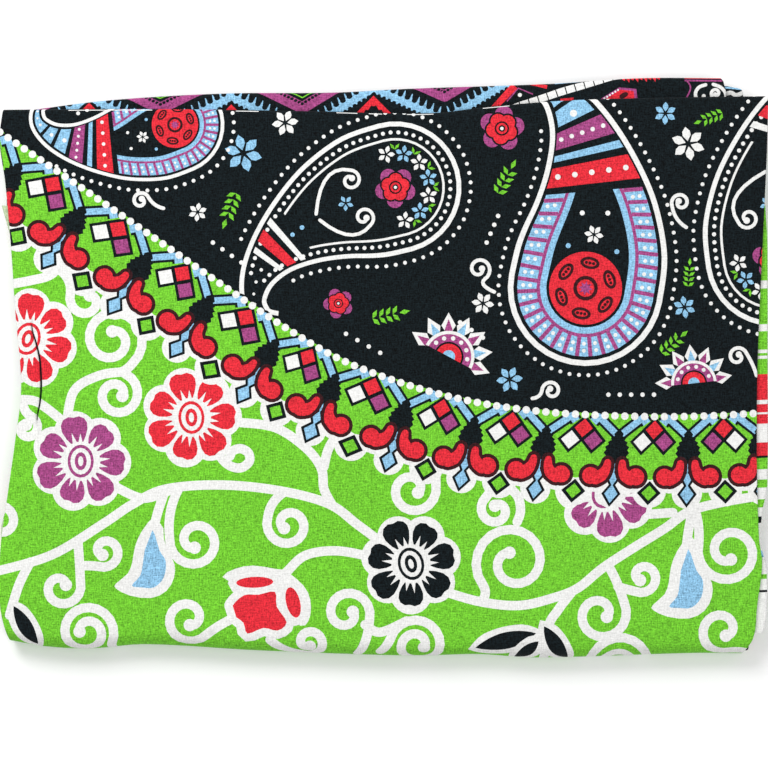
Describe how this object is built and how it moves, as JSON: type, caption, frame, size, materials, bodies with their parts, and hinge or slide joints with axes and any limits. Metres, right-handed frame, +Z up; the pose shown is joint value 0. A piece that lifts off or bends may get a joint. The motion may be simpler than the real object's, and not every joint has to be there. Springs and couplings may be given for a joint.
{
  "type": "folded printed sarong",
  "caption": "Rectangular sarong cloth folded into a flat, soft-edged packet, with a thick rounded fold along its near side and thinner layered folds at its other edges.",
  "frame": {"origin": "centre of the packet's box in plan, at the height of the surface it lies on", "axes": "+X along the packet's long side, +Y from the thick rolled fold towards the edge with the layered folds, +Z up out of the front panel"},
  "size_m": [0.405, 0.306, 0.0166],
  "materials": {
    "front_print": "matte plain-weave rayon, lime green and black ground with white, red, purple and light blue print",
    "stripe_print": "the same cloth, black ground with chevron stripes in light blue, purple and red",
    "border_print": "the same cloth, green ground with red and white bands",
    "inner_cloth": "folded edges of the same cloth, print showing at the folds",
    "underside_print": "the same cloth, green ground with white vines"
  },
  "bodies": {
    "root": {"front_panel": "front_print", "back_layer": "stripe_print", "back_layer_low": "stripe_print", "right_layer": "border_print", "left_layer": "border_print", "hidden_layers": "inner_cloth", "underside_panel": "underside_print"}
  },
  "joints": []
}
